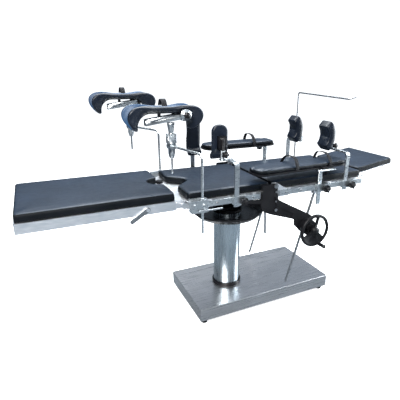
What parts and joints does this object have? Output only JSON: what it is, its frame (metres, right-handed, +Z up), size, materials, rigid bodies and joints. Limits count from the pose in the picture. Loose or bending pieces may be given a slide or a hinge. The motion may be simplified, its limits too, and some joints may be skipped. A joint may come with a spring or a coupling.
{
  "type": "operating table",
  "caption": "Hydraulic operating table with jointed leg, seat, back and head sections, handwheel drive, side rails and clamped knee, body, arm and shoulder supports.",
  "frame": {"origin": "middle of the overall footprint at floor level, under the four feet", "axes": "+X towards the head end, +Y towards the patient's right side, +Z up"},
  "size_m": [2.1268, 1.027, 1.2119],
  "materials": {
    "pad": "slate grey vinyl with black sides",
    "stainless": "brushed stainless sheet",
    "rail": "bright polished steel",
    "frame": "light painted steel",
    "casting": "satin black paint",
    "knob": "black moulded plastic",
    "foot": "black rubber",
    "rod": "bright drawn rod",
    "dark_pad": "black vinyl with a blue sheen",
    "webbing": "black webbing",
    "chassis": "grey paint"
  },
  "bodies": {
    "base": {"base_cover": "stainless", "base_chassis": "chassis", "base_feet": "foot", "column_core": "stainless", "collar_ring": "knob"},
    "column": {"column_sleeve": "stainless", "bowl_cover": "casting", "column_head": "casting", "lift_ram": "rod"},
    "cradle": {"tilt_cradle": "casting"},
    "seat": {"seat_frame": "frame", "seat_pad": "pad", "seat_rails": "rail", "gear_arm": "casting", "hinge_cheek": "casting", "hinge_bolts": "rod", "seat_clamps": "rail", "seat_knobs": "knob", "notch_knob": "knob"},
    "back": {"back_frame": "frame", "back_pad": "pad", "back_rails": "rail", "back_clamps": "rail", "back_knobs": "knob", "arm_posts": "rail"},
    "head": {"head_frame": "frame", "head_pad": "pad"},
    "leg": {"leg_frame": "frame", "leg_pad": "pad"},
    "wheel": {"handwheel": "casting"},
    "crank": {"crank_grip": "knob"},
    "tilt_lock": {"tilt_lever": "rod"},
    "leg_lock": {"leg_lever": "rod"},
    "head_lock": {"head_lever": "rod"},
    "stays": {"stay_rods": "rod"},
    "screen": {"screen_rod": "rod"},
    "sleeve_left": {"holder_sleeve_left": "rod"},
    "post_left": {"leg_post_left": "rod"},
    "crutch_left": {"crutch_mount_left": "rail", "crutch_shell_left": "dark_pad"},
    "lateral_left": {"lateral_bar_left": "rail"},
    "side_pad_left": {"lateral_pad_left": "dark_pad"},
    "board_left": {"arm_board_left": "knob", "arm_cushion_left": "pad", "arm_straps_left": "webbing"},
    "shoulder_left": {"shoulder_bar_left": "rail"},
    "neck_pad_left": {"shoulder_pad_left": "dark_pad"},
    "sleeve_right": {"holder_sleeve_right": "rod"},
    "post_right": {"leg_post_right": "rod"},
    "crutch_right": {"crutch_mount_right": "rail", "crutch_shell_right": "dark_pad"},
    "lateral_right": {"lateral_bar_right": "rail"},
    "side_pad_right": {"lateral_pad_right": "dark_pad"},
    "board_right": {"arm_board_right": "knob", "arm_cushion_right": "pad", "arm_straps_right": "webbing"},
    "shoulder_right": {"shoulder_bar_right": "rail"},
    "neck_pad_right": {"shoulder_pad_right": "dark_pad"}
  },
  "joints": [
    {"name": "column_lift", "type": "slide", "parent": "base", "child": "column", "axis": [0, 0, 1], "range_m": [0, 0.25]},
    {"name": "side_tilt", "type": "hinge", "parent": "column", "child": "cradle", "pos_m": [-0.01242, -0.0955, 0.612], "axis": [1, 0, 0], "range_deg": [-6, 6]},
    {"name": "long_tilt", "type": "hinge", "parent": "cradle", "child": "seat", "pos_m": [-0.01242, -0.0955, 0.652], "axis": [0, -1, 0], "range_deg": [-4, 25]},
    {"name": "back_raise", "type": "hinge", "parent": "seat", "child": "back", "pos_m": [0.12558, -0.0955, 0.758], "axis": [0, -1, 0], "range_deg": [-8, 20]},
    {"name": "wheel_turn", "type": "hinge", "parent": "seat", "child": "wheel", "pos_m": [0.33958, -0.4505, 0.502], "axis": [0, -1, 0], "range_deg": [-384, 960]},
    {"name": "crank_spin", "type": "hinge", "parent": "wheel", "child": "crank", "pos_m": [0.36461, -0.4805, 0.42496], "axis": [0, 1, 0], "continuous": true},
    {"name": "head_raise", "type": "hinge", "parent": "back", "child": "head", "pos_m": [0.75858, -0.0955, 0.742], "axis": [0, -1, 0], "range_deg": [-42, 27]},
    {"name": "leg_drop", "type": "hinge", "parent": "seat", "child": "leg", "pos_m": [-0.36242, -0.0955, 0.714], "axis": [0, 1, 0], "range_deg": [-90, 12]},
    {"name": "leg_lock_turn", "type": "hinge", "parent": "leg", "child": "leg_lock", "pos_m": [-0.53542, -0.3405, 0.72], "axis": [0, 1, 0], "range_deg": [-10, 30]},
    {"name": "head_lock_turn", "type": "hinge", "parent": "head", "child": "head_lock", "pos_m": [0.79707, -0.2675, 0.71662], "axis": [0, 1, 0], "range_deg": [-12, 12]},
    {"name": "tilt_lock_turn", "type": "hinge", "parent": "seat", "child": "tilt_lock", "pos_m": [0.07958, -0.3475, 0.652], "axis": [0, 1, 0], "range_deg": [-20, 20]},
    {"name": "stay_fold", "type": "hinge", "parent": "back", "child": "stays", "pos_m": [0.43358, -0.0955, 0.672], "axis": [0, -1, 0], "range_deg": [-70, 0]},
    {"name": "screen_swing", "type": "hinge", "parent": "back", "child": "screen", "pos_m": [0.64258, 0.1785, 0.713], "axis": [0, 0, 1], "range_deg": [-90, 90]},
    {"name": "holder_swing_left", "type": "hinge", "parent": "seat", "child": "sleeve_left", "pos_m": [-0.28842, -0.3815, 0.707], "axis": [0, 0, 1], "range_deg": [-10, 90]},
    {"name": "holder_lift_left", "type": "slide", "parent": "sleeve_left", "child": "post_left", "axis": [0, 0, 1], "range_m": [0, 0.06]},
    {"name": "crutch_pitch_left", "type": "hinge", "parent": "post_left", "child": "crutch_left", "pos_m": [-0.34742, -0.1375, 0.958], "axis": [-0.235, 0.972, 0], "range_deg": [-20, 20]},
    {"name": "lateral_lift_left", "type": "slide", "parent": "seat", "child": "lateral_left", "axis": [0, 0, 1], "range_m": [0, 0.04]},
    {"name": "lateral_turn_left", "type": "hinge", "parent": "lateral_left", "child": "side_pad_left", "pos_m": [-0.14242, -0.2955, 0.92], "axis": [0, 0, 1], "range_deg": [-15, 15]},
    {"name": "board_swing_left", "type": "hinge", "parent": "back", "child": "board_left", "pos_m": [0.46758, -0.3555, 0.81], "axis": [0, 0, 1], "range_deg": [0, 90]},
    {"name": "shoulder_lift_left", "type": "slide", "parent": "back", "child": "shoulder_left", "axis": [0, 0, 1], "range_m": [0, 0.04]},
    {"name": "shoulder_turn_left", "type": "hinge", "parent": "shoulder_left", "child": "neck_pad_left", "pos_m": [0.59558, -0.2375, 0.905], "axis": [0, 0, 1], "range_deg": [-20, 20]},
    {"name": "holder_swing_right", "type": "hinge", "parent": "seat", "child": "sleeve_right", "pos_m": [-0.31242, 0.1905, 0.707], "axis": [0, 0, 1], "range_deg": [-10, 70]},
    {"name": "holder_lift_right", "type": "slide", "parent": "sleeve_right", "child": "post_right", "axis": [0, 0, 1], "range_m": [0, 0.06]},
    {"name": "crutch_pitch_right", "type": "hinge", "parent": "post_right", "child": "crutch_right", "pos_m": [-0.41542, 0.4185, 0.985], "axis": [-0.4117, 0.9113, 0], "range_deg": [-20, 20]},
    {"name": "lateral_lift_right", "type": "slide", "parent": "seat", "child": "lateral_right", "axis": [0, 0, 1], "range_m": [0, 0.04]},
    {"name": "lateral_turn_right", "type": "hinge", "parent": "lateral_right", "child": "side_pad_right", "pos_m": [-0.15242, 0.1045, 0.92], "axis": [0, 0, 1], "range_deg": [-15, 15]},
    {"name": "board_swing_right", "type": "hinge", "parent": "back", "child": "board_right", "pos_m": [0.36558, 0.1925, 0.81], "axis": [0, 0, 1], "range_deg": [-90, 0]},
    {"name": "shoulder_lift_right", "type": "slide", "parent": "back", "child": "shoulder_right", "axis": [0, 0, 1], "range_m": [0, 0.04]},
    {"name": "shoulder_turn_right", "type": "hinge", "parent": "shoulder_right", "child": "neck_pad_right", "pos_m": [0.58458, 0.0465, 0.905], "axis": [0, 0, 1], "range_deg": [-20, 20]}
  ],
  "couplings": [
    {"joint": "wheel_turn", "follows": "back_raise", "ratio": 48}
  ]
}
